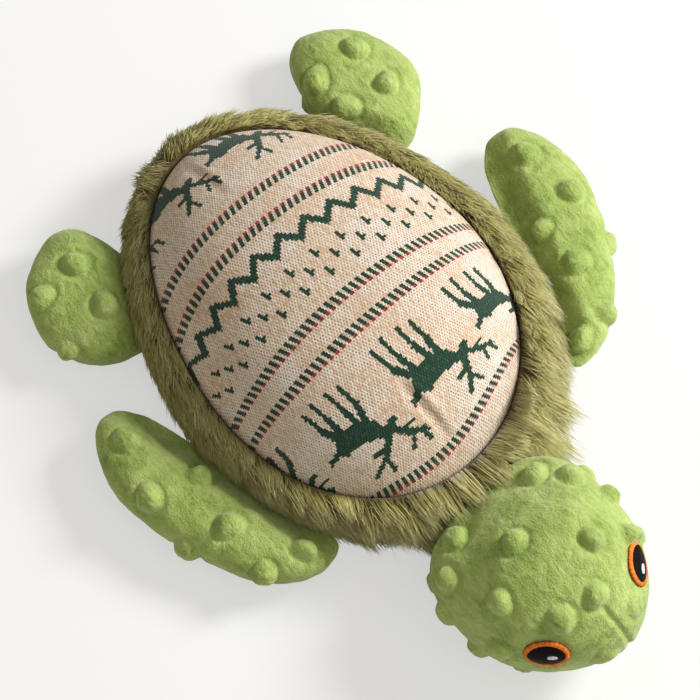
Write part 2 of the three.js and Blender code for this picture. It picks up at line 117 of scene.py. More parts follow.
class Paint:
    """One node material, from its Principled shader back to its pattern."""

    def __init__(self, name, **sockets):
        self.material = bpy.data.materials.new(name)
        self.material.use_nodes = True
        self.tree = self.material.node_tree
        self.shader = self.tree.nodes["Principled BSDF"]
        for socket, value in sockets.items():
            self.shader.inputs[socket.replace("_", " ")].default_value = value

    def node(self, kind, settings=(), inputs=()):
        made = self.tree.nodes.new(kind)
        for key, value in dict(settings).items():
            if key == "stops":
                self.set_stops(made.color_ramp, value)
            else:
                setattr(made, key, value)
        pairs = inputs.items() if isinstance(inputs, dict) else enumerate(inputs)
        for key, value in pairs:
            self.feed(made.inputs[key], value)
        return made

    def feed(self, socket, value):
        value = value.socket if isinstance(value, Value) else value
        if isinstance(value, bpy.types.NodeSocket):
            self.tree.links.new(value, socket)
        else:
            socket.default_value = value

    def set_stops(self, ramp, stops):
        while len(ramp.elements) < len(stops):
            ramp.elements.new(0.5)
        for element, (place, colour) in zip(ramp.elements, stops):
            element.position = place
            element.color = colour

    def number(self, kind, settings, inputs):
        return Value(self, self.node(kind, settings, inputs).outputs[0])

    def place(self):
        return self.node("ShaderNodeTexCoord").outputs["Object"]

    def attribute(self, name):
        return self.node("ShaderNodeAttribute", {"attribute_name": name}).outputs["Vector"]

    def split(self, vector):
        parts = self.node("ShaderNodeSeparateXYZ", inputs=[vector]).outputs
        return [Value(self, part) for part in parts]

    def join(self, *parts):
        return self.node("ShaderNodeCombineXYZ", inputs=list(parts)).outputs[0]

    def stretched(self, vector, scale):
        return self.node("ShaderNodeMapping", inputs={"Vector": vector, "Scale": scale}).outputs[0]

    def cloud(self, vector, scale, detail=2.0, roughness=0.5, distortion=0.0):
        """Soft noise from 0 to 1, with its features a metre over scale apart."""
        return self.number("ShaderNodeTexNoise", {"normalize": True}, {
            "Vector": vector, "Scale": scale, "Detail": detail,
            "Roughness": roughness, "Distortion": distortion,
        })

    def mix(self, share, first, second):
        """A colour between two, by a share that varies."""
        mixed = self.node("ShaderNodeMix", {"data_type": "RGBA"}, {0: share, 6: first, 7: second})
        return mixed.outputs[2]

    def ramp(self, share, stops):
        return self.node("ShaderNodeValToRGB", {"stops": stops}, [share]).outputs["Color"]

    def relief(self, height, depth, strength=1.0):
        """Small relief, depth metres high where height is 1."""
        bump = self.node("ShaderNodeBump", inputs={
            "Strength": strength, "Distance": depth, "Height": height})
        self.tree.links.new(bump.outputs["Normal"], self.shader.inputs["Normal"])

    def colour(self, colour):
        self.feed(self.shader.inputs["Base Color"], colour)


def rgb(red, green, blue):
    """A colour as it looks on screen, 0 to 255, turned into the linear one that nodes take."""
    linear = []
    for part in (red, green, blue):
        share = part / 255
        linear.append(share / 12.92 if share <= 0.04045 else ((share + 0.055) / 1.055) ** 2.4)
    return (*linear, 1.0)


# Points, as numpy arrays of millimetres, and meshes

def signed_power(value, power):
    return np.sign(value) * np.abs(value) ** power


def smooth(value, low, high):
    share = np.clip((value - low) / (high - low), 0, 1)
    return share * share * (3 - 2 * share)


def unit(vectors):
    return vectors / np.maximum(np.linalg.norm(vectors, axis=-1, keepdims=True), 1e-9)


def lumps(points, size, seed):
    """Noise from about -1 to 1 at each point, with lumps of that size in millimetres."""
    shift = Vector((seed * 17.3, seed * 9.1, seed * 5.7))
    return np.array([noise.noise(Vector(point) / size + shift) for point in points])


def points_of(obj):
    flat = np.empty(len(obj.data.vertices) * 3)
    obj.data.vertices.foreach_get("co", flat)
    return flat.reshape(-1, 3)


def set_points(obj, points):
    obj.data.vertices.foreach_set("co", np.ascontiguousarray(points, dtype=np.float32).ravel())
    obj.data.update()


def normals_of(obj):
    flat = np.empty(len(obj.data.vertices) * 3)
    obj.data.vertex_normals.foreach_get("vector", flat)
    return flat.reshape(-1, 3)


def round_blank(name, fineness):
    """An evenly divided ball of radius 1, from which a stuffed form is shaped."""
    bpy.ops.object.select_all(action="DESELECT")
    bpy.ops.mesh.primitive_ico_sphere_add(subdivisions=fineness, radius=1)
    blank = bpy.context.object
    blank.name = name
    blank.data.name = name
    bpy.ops.object.shade_smooth()
    return blank


def mesh_piece(name, points, faces):
    """A piece from points in millimetres and faces of one size."""
    mesh = bpy.data.meshes.new(name)
    sides = faces.shape[1]
    mesh.vertices.add(len(points))
    mesh.vertices.foreach_set("co", (points * MM).astype(np.float32).ravel())
    mesh.loops.add(faces.size)
    mesh.loops.foreach_set("vertex_index", faces.astype(np.int32).ravel())
    mesh.polygons.add(len(faces))
    mesh.polygons.foreach_set("loop_start", np.arange(0, faces.size, sides, dtype=np.int32))
    mesh.update(calc_edges=True)
    mesh.validate()
    made = bpy.data.objects.new(name, mesh)
    bpy.context.collection.objects.link(made)
    mesh.shade_smooth()
    return made


def set_attribute(obj, name, values):
    kind = "FLOAT" if values.ndim == 1 else "FLOAT_VECTOR"
    held = obj.data.attributes.new(name, kind, "POINT")
    held.data.foreach_set("value" if values.ndim == 1 else "vector", values.astype(np.float32).ravel())


def finish_skin(obj, points, material):
    set_points(obj, points * MM)
    obj.data.materials.clear()
    obj.data.materials.append(material)


# Body: an egg seen from above, widest at its middle

BODY_MIDDLE = -8.0
BODY_HALF_WIDTH = 72.0
BODY_FRONT = 80.5
BODY_REAR = 104.5
HEAD_END_POWER = 2.05
TAIL_END_POWER = 1.8
SHELL_INSET = 9.3
SHELL_EDGE = 31.0
SHELL_CROWN = 68.0
SHELL_HEM = 3.4
DOME_FULLNESS = 2.2
DOME_ROUNDNESS = 0.62
DOME_REACH = 74.0
DOME_STEPS = 400

# The stuffing fills the body more towards one side of its tail
FULLER_SIDE = math.radians(128)
FULLER_BY = 6.0

# The shell's edge and the fur's lip lie off the body's outline, outwards on one side of the head
# and inwards on the other
OUTWARD_SIDE = math.radians(-128)
OUTWARD_BY = 2.6
INWARD_SIDE = math.radians(-38)
INWARD_BY = 3.4


def plain_egg(angle, inset):
    """x and y of an egg's outline, drawn in by inset; angle 0 is towards +X."""
    across, along = np.cos(angle), np.sin(angle)
    ahead = along < 0
    power = np.where(ahead, 2 / HEAD_END_POWER, 2 / TAIL_END_POWER)
    length = np.where(ahead, BODY_FRONT, BODY_REAR) - inset
    return np.stack([
        (BODY_HALF_WIDTH - inset) * signed_power(across, power),
        BODY_MIDDLE + length * signed_power(along, power),
    ], axis=-1)


def towards(angle, side, power):
    """1 at a side of the body, 0 from a quarter turn away."""
    return np.clip(np.cos(angle - side), 0, 1) ** power


def egg(angle, inset):
    """The body's outline, drawn in by inset."""
    fuller = FULLER_BY * towards(angle, FULLER_SIDE, 4)
    way = np.array([math.cos(FULLER_SIDE), math.sin(FULLER_SIDE)])
    return plain_egg(angle, inset) + np.asarray(fuller)[..., None] * way


def lean(angle):
    """How far the shell's edge and the fur's lip lie off the body's outline there."""
    return OUTWARD_BY * towards(angle, OUTWARD_SIDE, 2) - INWARD_BY * towards(angle, INWARD_SIDE, 2)


def leaning_egg(angle, inset, share):
    """The outline with a share of the lean."""
    way = np.stack([np.cos(angle), np.sin(angle)], axis=-1)
    return egg(angle, inset) + (share * lean(angle))[..., None] * way


def dome_rise(share):
    """Share of the dome's height at a share of the way from its top to its edge."""
    return (1 - np.clip(share, 0, 1) ** DOME_FULLNESS) ** DOME_ROUNDNESS


def dome_steps():
    """Shares of the way out over the dome, with how far each is along the cloth, in millimetres."""
    share = 1 - np.linspace(1, 0, DOME_STEPS) ** 2
    height = (SHELL_CROWN - SHELL_EDGE) * dome_rise(share)
    reach = DOME_REACH * share
    cloth = np.concatenate([[0], np.cumsum(np.hypot(np.diff(reach), np.diff(height)))])
    return share, cloth


# Materials

PLUSH_LIGHT = rgb(202, 217, 136)
PLUSH_MID = rgb(168, 190, 102)
PLUSH_DEEP = rgb(112, 142, 56)
FUR_ROOT = rgb(122, 110, 60)
FUR_MID = rgb(178, 170, 100)
FUR_TIP = rgb(226, 220, 158)


def make_plush():
    """Short-napped plush: brushed patches, streaks of lying pile, and a soft bloom."""
    paint = Paint("plush_nap", Roughness=0.9, Sheen_Weight=0.35, Sheen_Roughness=0.45,
                  Specular_IOR_Level=0.2)
    place = paint.place()
    patches = paint.cloud(place, 60, 3, 0.6, 0.6)
    streaks = paint.cloud(paint.stretched(place, (420, 150, 420)), 1.0, 3, 0.65, 0.6)
    ripples = paint.cloud(place, 170, 3, 0.6, 0.8)
    fibres = paint.cloud(place, 1500, 2, 0.7)
    share = patches * 0.42 + streaks * 0.38 + ripples * 0.12 + fibres * 0.26
    paint.colour(paint.ramp(share, [
        (0.38, PLUSH_DEEP), (0.57, PLUSH_MID), (0.78, PLUSH_LIGHT)]))
    paint.relief(ripples * 0.9 + streaks * 0.5 + fibres * 0.35, 0.0016, 0.75)
    return paint.material


def make_fur():
    """Long pile: dark at the root, olive along it, pale at the tip, each strand a little its own; each
    lock is paler towards the head as painted light and darker on one side as painted shade.
    """
    paint = Paint("long_fur", Roughness=0.65, Sheen_Weight=0.3, Sheen_Roughness=0.4,
                  Specular_IOR_Level=0.25)
    # lock carries each lock's random tone together with its painted light and painted shade
    reach, own, lock = paint.split(paint.attribute("pile"))
    share = reach * 0.75 + own * 0.22 + lock * 0.3 - 0.12
    paint.colour(paint.ramp(share, [(0.05, FUR_ROOT), (0.5, FUR_MID), (0.95, FUR_TIP)]))
    return paint.material


def make_mottled(name, scale, detail, stops, depth, strength, **sockets):
    """A plain surface: noise between two colours, which is also its grain."""
    paint = Paint(name, **sockets)
    share = paint.cloud(paint.place(), scale, detail)
    paint.colour(paint.ramp(share, stops))
    paint.relief(share, depth, strength)
    return paint.material


def make_silk(name, end_shade, mid, light, shine):
    """Embroidery thread: a twist along it, each stitch a little its own, and painted shade darkening each
    stitch towards its ends, where it goes into the cloth.
    """
    paint = Paint(name, Roughness=0.45, Specular_IOR_Level=shine)
    reach, own, _ = paint.split(paint.attribute("pile"))
    # Painted shade: the colour darkens towards both ends of each stitch
    edge = (reach - 0.5).absolute() * 2
    share = own * 0.5 + 0.5 - edge.ramp(0.55, 1.0) * 0.55
    paint.colour(paint.ramp(share, [(0.05, end_shade), (0.5, mid), (0.95, light)]))
    twist = paint.cloud(paint.stretched(paint.place(), (3200, 3200, 3200)), 1.0, 1)
    paint.relief(twist, 0.0002, 0.5)
    return paint.material


def make_vinyl():
    """The squeaker's soft blown plastic: cloudy, with flow marks and a satin skin."""
    paint = Paint("squeaker_vinyl_skin", Roughness=0.42, Specular_IOR_Level=0.5, Subsurface_Weight=0.2)
    place = paint.place()
    marks = paint.cloud(paint.stretched(place, (60, 60, 240)), 1.0, 3, 0.6)
    paint.colour(paint.ramp(marks, [(0.3, rgb(214, 208, 190)), (0.7, rgb(236, 232, 220))]))
    paint.relief(paint.cloud(place, 900, 2), 0.0002, 0.4)
    return paint.material


orange_silk = make_silk("orange_silk", rgb(104, 26, 8), rgb(226, 104, 12), rgb(252, 150, 36), 0.4)
black_silk = make_silk("black_silk", rgb(3, 2, 2), rgb(7, 5, 4), rgb(14, 11, 9), 0.1)
white_silk = make_silk("white_silk", rgb(190, 180, 188), rgb(232, 226, 230), rgb(250, 248, 250), 0.4)
squeaker_skins = {
    "squeaker_bulb": make_vinyl(),
    "squeaker_whistle": make_mottled(
        "whistle_plastic_skin", 1400, 2, [(0.3, rgb(204, 204, 202)), (0.7, rgb(222, 222, 220))],
        0.0001, 0.5, Roughness=0.34, Specular_IOR_Level=0.5),
}
plush = make_plush()
fur = make_fur()
backing = make_mottled(
    "fur_backing_cloth", 400, 3, [(0.3, rgb(74, 66, 36)), (0.8, rgb(112, 102, 58))],
    0.0006, 1.0, Roughness=0.95)

# Shell: the woven dome over its stuffing

STITCH_WIDTH = 1.3
STITCH_HEIGHT = 1.2
DASH_PITCH = 3.1
MOTIF_PITCH = 12.4
DEER_PITCH = 40.4

# Dashed stripes: level across the bands, and the side their red dots are on
STRIPES = [(59.4, 1), (44.9, 1), (2.2, -1), (-11.8, -1), (-71.4, -1)]
ZIGZAG_LEVEL = 33.4
ZIGZAG_SWING = 3.4
ZIGZAG_LINE = 2.2
ZIGZAG_PHASE = 3.4
TICK_LEVELS = (21.4, 16.4, 11.6)
TICK_PHASE = 9.2

# A leaping deer as strokes: from, to, and half width; x along the band, y up from its body
DEER = [
    ((-5, 1), (2, 0), 4.7), ((2, 0), (7, 2), 4.2), ((7, 3), (12, 6), 2.5), ((12, 6), (17, 4), 1.7),
    ((-8, 2), (-15, 5), 1.5), ((12, 8), (10, 11), 1.0),
    ((-6, -2), (-11, -10), 1.7), ((-11, -10), (-13, -20), 1.1),
    ((-4, -3), (-6, -12), 1.5), ((-6, -12), (-7, -22), 1.0),
    ((4, -2), (2, -11), 1.5), ((2, -11), (1, -21), 1.0),
    ((7, -1), (8, -10), 1.6), ((8, -10), (7, -19), 1.1),
    ((13, 8), (9, 15), 1.4), ((9, 15), (4, 21), 1.1), ((11, 12), (5, 12), 0.9),
    ((9, 16), (11, 22), 0.9), ((15, 7), (20, 12), 1.4), ((20, 12), (27, 16), 1.1),
    ((18, 10), (23, 9), 0.9), ((21, 13), (19, 19), 0.9), ((24, 15), (25, 20), 0.9),
]
DEER_LEVELS = (-43.0, 96.0)
DEER_PHASE = 4.0
DEER_MIDDLE = 6.0


def stroke(x, y, start, end, half_width):
    """1 inside a round-ended stroke between two points, 0 outside."""
    run = (end[0] - start[0], end[1] - start[1])
    length = run[0] ** 2 + run[1] ** 2
    from_x, from_y = x - start[0], y - start[1]
    share = ((from_x * run[0] + from_y * run[1]) / length).most(0.0).least(1.0)
    off_x, off_y = from_x - share * run[0], from_y - share * run[1]
    return (off_x * off_x + off_y * off_y) < half_width ** 2


def make_weave():
    """Jacquard weave in beige and dark green: its bands, its figures, and the gaps between threads
    darkened as painted shade.
    """
    paint = Paint("woven_jacquard", Roughness=0.88, Sheen_Weight=0.2, Specular_IOR_Level=0.15)
    place = paint.place()
    fine_u, fine_v, skew = paint.split(paint.attribute("cloth_place"))
    row = (fine_v / STITCH_HEIGHT).floor()
    odd = row.cell(2.0).absolute()
    half = STITCH_WIDTH / 2
    u = (((fine_u + odd * (half / 2)) / half).floor() + 0.5) * half
    v = (row + 0.5) * STITCH_HEIGHT

    def square_to(level):
        """Place along a band at that level, square to the band."""
        return u + skew * (v - level)

    green, red = None, None
    for level, side in STRIPES:
        height = (v - level) * side
        along = fine_u + skew * (v - level) - (v - level) * 0.3 * side
        dash = along.cell(DASH_PITCH).absolute() < DASH_PITCH * 0.29
        dashed = (height.absolute() < 1.8) * dash
        dotted = ((height - 2.4).absolute() < 0.6) * dash
        green = dashed if green is None else green.most(dashed)
        red = dotted if red is None else red.most(dotted)
    tooth = (square_to(ZIGZAG_LEVEL) - ZIGZAG_PHASE).cell(MOTIF_PITCH).absolute()
    swing = ZIGZAG_LEVEL + ZIGZAG_SWING - tooth * (4 * ZIGZAG_SWING / MOTIF_PITCH)
    green = green.most((v - swing).absolute() < ZIGZAG_LINE)
    for count, level in enumerate(TICK_LEVELS):
        off = fine_u + skew * (v - level) - TICK_PHASE + count * MOTIF_PITCH / 2
        off = (off + (v - level) * 0.15).cell(MOTIF_PITCH)
        green = green.most((off.absolute() < 0.75) * ((v - level).absolute() < 2.4))
        green = green.most(((off - 1.2).absolute() < 0.8) * ((v - level).absolute() < 2.0) * odd)
    for level in DEER_LEVELS:
        deer_x = (square_to(level) - DEER_PHASE - DEER_MIDDLE).cell(DEER_PITCH) + DEER_MIDDLE
        for start, end, half_width in DEER:
            green = green.most(stroke(deer_x, level - v, start, end, half_width))

    threads = paint.cloud(paint.join(u * 0.9, v * 0.9, 0.0), 1.0, 1, 0.5)
    broad = paint.cloud(place, 38, 3, 0.6)
    slub = paint.cloud(paint.join(fine_u * 1.1, fine_v * 0.2, 0.0), 1.0, 2, 0.6)
    hole_u = (fine_u + odd * half).cell(STITCH_WIDTH) / 0.46
    hole_v = (fine_v - STITCH_HEIGHT / 2).cell(STITCH_HEIGHT) / 0.36
    gap = (hole_u * hole_u).ramp(1.2, 0.1) * 0.3
    hole = (hole_u * hole_u + hole_v * hole_v).ramp(1.4, 0.2) * threads.ramp(0.34, 0.62)
    hole = hole.most(gap) * (broad.ramp(0.3, 0.6) * 0.4 + 0.6)
    beige = paint.ramp(broad * 0.35 + threads * 0.45 + slub * 0.35 - 0.05, [
        (0.43, rgb(216, 184, 154)), (0.52, rgb(244, 223, 200)), (0.61, rgb(255, 248, 238))])
    # Painted shade: the gaps between threads are darkened, here in the beige and below in the green
    beige = paint.mix(hole * 0.85, beige, rgb(132, 100, 74))
    dark = paint.ramp(threads * 0.7 + slub * 0.3, [
        (0.32, rgb(54, 60, 42)), (0.48, rgb(30, 62, 46)), (0.7, rgb(50, 96, 76))])
    crimson = paint.ramp(threads, [(0.3, rgb(116, 40, 42)), (0.7, rgb(184, 62, 72))])
    colour = paint.mix(red, beige, crimson)
    colour = paint.mix(green, colour, paint.mix(hole * 0.5, dark, rgb(20, 28, 22)))
    paint.colour(colour)
    paint.relief(1 - hole * 0.8 - green * 0.1 + slub * 0.3, 0.0006, 0.9)
    return paint.material


weave = make_weave()


# How the cloth was pulled out of square over the stuffing, for each term in band_place
CLOTH_UNIT = 50
CLOTH_PULL = (-0.04, 0.04, 0.125, 0.125, -0.03, -0.09, -0.2)
CLOTH_HALF_WIDTH = 62.7
CLOTH_HALF_LENGTH = 83
CLOTH_LONGER_BEHIND = 12


def band_place(plan):
    """Millimetres along the bands and across them, for points of the plan."""
    x, y = plan[:, 0] / CLOTH_UNIT, (plan[:, 1] - BODY_MIDDLE) / CLOTH_UNIT
    half_length = CLOTH_HALF_LENGTH + CLOTH_LONGER_BEHIND * np.tanh(1.25 * y)
    share = (CLOTH_UNIT * x / CLOTH_HALF_WIDTH) ** 2 + (CLOTH_UNIT * y / half_length) ** 2
    slope = 1 + 0.05 * share + 0.12 * share ** 2
    terms = (x, x ** 2, x * y, x ** 2 * y, x ** 3, x * y ** 2, x ** 2 * y ** 2)
    level = y * slope + sum(pull * term for pull, term in zip(CLOTH_PULL, terms))
    return CLOTH_UNIT * x * slope, CLOTH_UNIT * level


def cloth_place(plan):
    """For points of the dome: along its bands, across them, and how far the two are from square."""
    step = 0.5
    here = band_place(plan)
    by_x, by_y = [[(moved - still) / step for moved, still in zip(band_place(plan + shift), here)]
                  for shift in ([step, 0], [0, step])]
    skew = -(by_x[0] * by_x[1] + by_y[0] * by_y[1]) / (by_x[1] ** 2 + by_y[1] ** 2)
    return np.column_stack([*here, skew])


# Pinches in the cloth: from, to, and depth
PINCHES = [((-7.5, -44.0), (-2.5, -70.0), 1.6), ((-12.0, 84.0), (-10.5, 60.0), 0.9)]


def pinched(plan):
    """How much the cloth stands up or sinks beside its pinches."""
    height = np.zeros(len(plan))
    for start, end, depth in PINCHES:
        start, way = np.array(start), np.array(end) - np.array(start)
        length = np.linalg.norm(way)
        run = (plan - start) @ way / length ** 2
        off = (plan - start) @ np.array([-way[1], way[0]]) / length
        there = smooth(run, -0.1, 0.4) * (1 - smooth(run, 0.8, 1.2))
        height += depth * there * (0.6 * np.exp(-((off - 1.2) / 1.7) ** 2)
                                   - np.exp(-((off + 1.8) / 2.2) ** 2))
    return height


def make_shell():
    shell = round_blank("shell_fabric", 7)
    ball = points_of(shell)
    share_at, cloth_at = dome_steps()
    turn = np.arctan2(ball[:, 1], ball[:, 0])
    tilt = np.arccos(np.clip(ball[:, 2], -1, 1)) / (math.pi / 2)
    above = tilt <= 1
    cloth = np.minimum(tilt, 1) * cloth_at[-1]
    share = np.where(above, np.interp(cloth, cloth_at, share_at), np.clip(2 - tilt, 0, 1))
    flat = leaning_egg(turn, SHELL_INSET, 1.0)
    middle = np.array([0, BODY_MIDDLE])
    place = middle + share[:, None] * (flat - middle)
    rise = SHELL_EDGE + (SHELL_CROWN - SHELL_EDGE) * dome_rise(share)
    under = SHELL_EDGE - SHELL_HEM * smooth(tilt, 1.0, 1.06)
    rise = rise + pinched(place)
    points = np.column_stack([place, np.where(above, rise, under)])
    set_attribute(shell, "cloth_place", cloth_place(place))
    finish_skin(shell, points, weave)
    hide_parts("shell_cover", "body_filling")
    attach(shell, "torso")


make_shell()

# Fur band: a backing cloth, and locks of strands over it

# Section of the band from belly to lip: millimetres in from the outline, and height
FUR_PROFILE = [
    [26, 1.5], [18, 1.9], [10, 3.6], [3.6, 8.5], [0.4, 15], [0, 20], [1.2, 27], [4.2, 32.2],
    [8.6, 33.6]]
BACKING_THICKNESS = 3.0
BACKING_CLEARANCE = 0.3


def fur_surface(turn, run):
    """Place and outward direction on the band at an angle and a share from belly to lip."""
    profile = np.array(FUR_PROFILE)
    lengths = np.concatenate([[0], np.cumsum(np.hypot(*np.diff(profile, axis=0).T))])
    stops = lengths / lengths[-1]

    def at(turn, run):
        inset = np.interp(run, stops, profile[:, 0])
        height = np.interp(run, stops, profile[:, 1])
        return np.column_stack([leaning_egg(turn, inset, smooth(height, 22, 32)), height])

    place = at(turn, run)
    step = 0.01
    round_way = at(turn + step, run) - at(turn - step, run)
    up_way = at(turn, np.minimum(run + step, 1)) - at(turn, np.maximum(run - step, 0))
    out = unit(np.cross(round_way, up_way))
    return place, out, unit(round_way), unit(up_way)


def make_backing_band():
    rounds, steps = 220, 36
    turn, run = np.meshgrid(np.linspace(0, 2 * math.pi, rounds, endpoint=False),
                            np.linspace(0, 1, steps), indexing="ij")
    place, out, _, _ = fur_surface(turn.ravel(), run.ravel())
    outer = place.reshape(rounds, steps, 3)
    inner = (place - BACKING_THICKNESS * out).reshape(rounds, steps, 3)
    inner[..., 2] = np.maximum(inner[..., 2], BACKING_CLEARANCE)
    rings = np.concatenate([outer, inner[:, ::-1]], axis=1)
    around = rings.shape[1]
    index = np.arange(rounds * around).reshape(rounds, around)
    ahead = np.roll(index, -1, axis=0)
    faces = np.stack([index, ahead, np.roll(ahead, -1, axis=1), np.roll(index, -1, axis=1)], axis=-1)
    band = mesh_piece("fur_backing", rings.reshape(-1, 3), faces.reshape(-1, 4))
    band.data.materials.append(backing)
    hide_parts("fur_trim")
    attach(band, "torso")


make_backing_band()

FLOOR_CLEARANCE = 0.4


def tube_faces(rings, sides, pointed):
    """Triangles of a closed tube of that many rings; a pointed one ends in a single vertex."""
    faces = [[0, side + 1, side] for side in range(1, sides - 1)]
    last = (rings - 1) * sides
    for ring in range(rings - (2 if pointed else 1)):
        for side in range(sides):
            low, high = ring * sides, (ring + 1) * sides
            after = (side + 1) % sides
            faces += [[low + side, low + after, high + after], [low + side, high + after, high + side]]
    if pointed:
        faces += [[last - sides + side, last - sides + (side + 1) % sides, last] for side in range(sides)]
    else:
        faces += [[last, last + side, last + side + 1] for side in range(1, sides - 1)]
    return np.array(faces)


def make_threads(name, paths, radii, upright, traits, sides, material, pointed=False):
    """Closed threads along paths (thread, ring, xyz), with a radius at each ring.

    upright is a direction across each thread, and traits are two numbers of each for its material.
    """
    count, rings = paths.shape[:2]
    along = unit(np.gradient(paths, axis=1))
    side_way = unit(np.cross(along, upright[:, None]))
    rise_way = np.cross(side_way, along)
    turn = 2 * math.pi * np.arange(sides) / sides
    across = (side_way[:, :, None] * np.cos(turn)[:, None] + rise_way[:, :, None] * np.sin(turn)[:, None])
    points = paths[:, :, None] + across * radii[:, :, None, None]
    points[..., 2] = np.maximum(points[..., 2], FLOOR_CLEARANCE)
    per = (rings - 1) * sides + 1 if pointed else rings * sides
    faces = tube_faces(rings, sides, pointed)[None] + per * np.arange(count)[:, None, None]
    points = points.reshape(count, rings * sides, 3)[:, :per]
    made = mesh_piece(name, points.reshape(-1, 3), faces.reshape(-1, 3))
    reach = np.broadcast_to(np.repeat(np.linspace(0, 1, rings), sides)[:per], (count, per))
    held = [np.broadcast_to(trait[:, None], reach.shape) for trait in traits]
    set_attribute(made, "pile", np.stack([reach, *held], axis=-1).reshape(-1, 3))
    made.data.materials.append(material)
    return made


LOCK_ROUNDS = 100
LOCK_STEPS = 12
STRANDS_PER_LOCK = 64
STRAND_STOPS = np.array([0.0, 0.36, 0.70, 1.0])
STRAND_RADII = np.array([0.20, 0.19, 0.14, 0.0])
PILE_START = 0.07
PARTING = math.radians(112)
FRINGE_SIDE = math.radians(-10)
HEAD_SIDE = math.radians(-86)
# Side of the body whose locks are darkened as painted shade
PAINTED_SHADE_SIDE = math.radians(65)

# Millimetres of pile: everywhere, more towards the head, and more where it lies over the neck
PILE_LENGTH = 12.0
LONGER_TO_HEAD = 8.0
LONGER_OVER_NECK = 5.0

# How far strands scatter about their lock, against the band's size round the body and up it
LOCK_SCATTER = 2.5
BAND_RADIUS = 78.0
BAND_HEIGHT = 62.0
TIP_SCATTER = 0.7
ROOT_DEPTH = 0.4
PILE_PIECES = 7


def turn_from(turn, centre):
    """Angle away from a direction, 0 to pi."""
    return np.abs((turn - centre + math.pi) % (2 * math.pi) - math.pi)


def lock_flow(turn, run, out, round_way, up_way, shake):
    """Which way the pile lies: round both sides from the tail to the head, and down and out."""
    to_head = np.array([0.0, -1.0, 0.0])
    ahead = to_head - (out @ to_head)[:, None] * out
    from_parting = np.where(np.sin(turn - PARTING) > 0, 1.0, -1.0)
    part = smooth(turn_from(turn, PARTING), 0.05, 0.6)
    tail = 1 - smooth(turn_from(turn, PARTING), 0.3, 1.3)
    sideways = (1.5 * tail * part * from_parting)[:, None] * round_way
    down = 0.4 + 0.18 * np.clip(shake[:, 0], -1, 1) + 0.1 * tail
    flow = (1 - 0.75 * tail)[:, None] * ahead + sideways - down[:, None] * up_way
    flow = unit(flow + 0.2 * shake[:, 1:2] * round_way)
    fringe = smooth(np.cos(turn - FRINGE_SIDE), 0.0, 0.6) * smooth(run, 0.9, 0.96)
    over = unit(0.8 * ahead + 0.4 * up_way + 0.4 * out + 0.2 * shake[:, 1:2] * round_way)
    return unit(flow + fringe[:, None] * (over - flow))


def make_pile():
    chance = np.random.default_rng(7)
    cells = np.array([(a, b) for a in range(LOCK_ROUNDS) for b in range(LOCK_STEPS)], float)
    spot = cells + 0.5 + chance.uniform(-0.5, 0.5, cells.shape)
    turn = spot[:, 0] / LOCK_ROUNDS * 2 * math.pi
    run = PILE_START + (0.995 - PILE_START) * np.clip(spot[:, 1] / LOCK_STEPS, 0, 1)
    place, out, round_way, up_way = fur_surface(turn, run)
    shake = np.clip(chance.normal(0, 1, (len(cells), 3)), -1.7, 1.7)
    flow = lock_flow(turn, run, out, round_way, up_way, shake)
    to_head = np.exp(-(turn_from(turn, HEAD_SIDE) / 0.62) ** 2)
    raised = to_head * smooth(run, 0.5, 0.8)
    length = PILE_LENGTH + LONGER_TO_HEAD * to_head + LONGER_OVER_NECK * raised
    length = length * (1 + 0.12 * shake[:, 2])
    length = length * (0.6 + 0.4 * smooth(run, 0.15, 0.5))
    length = length * (1 - (0.35 - 0.25 * to_head) * smooth(run, 0.88, 0.97))
    length = length * (1 - 0.25 * np.exp(-(turn_from(turn, PARTING) / 0.9) ** 2))
    lift = (0.2 + 0.1 * np.clip(shake[:, 0], -1, 1) + 1.0 * raised)[:, None]
    lock_tip = place + length[:, None] * unit(flow + lift * out)
    # Each lock's tone: random, with painted light making the locks towards the head paler and painted
    # shade darkening those on one side of the body
    lock = chance.uniform(0, 1, len(cells)) + 1.2 * to_head
    lock = lock - 0.7 * smooth(np.cos(turn - PAINTED_SHADE_SIDE), 0.1, 0.9)

    index = np.repeat(np.arange(len(cells)), STRANDS_PER_LOCK)
    spread = chance.normal(0, LOCK_SCATTER, (len(index), 2))
    own = chance.uniform(0, 1, len(index))
    strand_turn = turn[index] + spread[:, 0] / BAND_RADIUS
    strand_run = np.clip(run[index] + spread[:, 1] / BAND_HEIGHT, PILE_START - 0.04, 1.0)
    roots, root_out, _, _ = fur_surface(strand_turn, strand_run)
    reach = (length[index] * chance.uniform(0.72, 1.06, len(index)))[:, None]
    own_tip = roots + reach * unit(flow[index] + lift[index] * root_out)
    gather = chance.uniform(0.1, 0.5, len(index))[:, None]
    tips = own_tip + gather * (lock_tip[index] - own_tip)
    tips = tips + chance.normal(0, TIP_SCATTER, roots.shape)
    stand = (0.55 + 0.7 * raised[index])[:, None]
    bends = roots + 0.5 * reach * unit(stand * root_out + 0.9 * flow[index])
    roots = roots - ROOT_DEPTH * root_out
    stops = STRAND_STOPS[None, :, None]
    paths = ((1 - stops) ** 2 * roots[:, None] + 2 * stops * (1 - stops) * bends[:, None]
             + stops ** 2 * tips[:, None])
    radii = STRAND_RADII[None, :] * (0.75 + 0.5 * own[:, None])
    order = np.argsort(strand_turn % (2 * math.pi), kind="stable")
    for number, part in enumerate(np.array_split(order, PILE_PIECES)):
        pile = make_threads(f"fur_pile_{number + 1}", paths[part], radii[part], root_out[part],
                            (own[part], lock[index][part]), 3, fur, pointed=True)
        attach(pile, "torso")


make_pile()

# Head, in its own frame: nose towards -Y, middle at zero

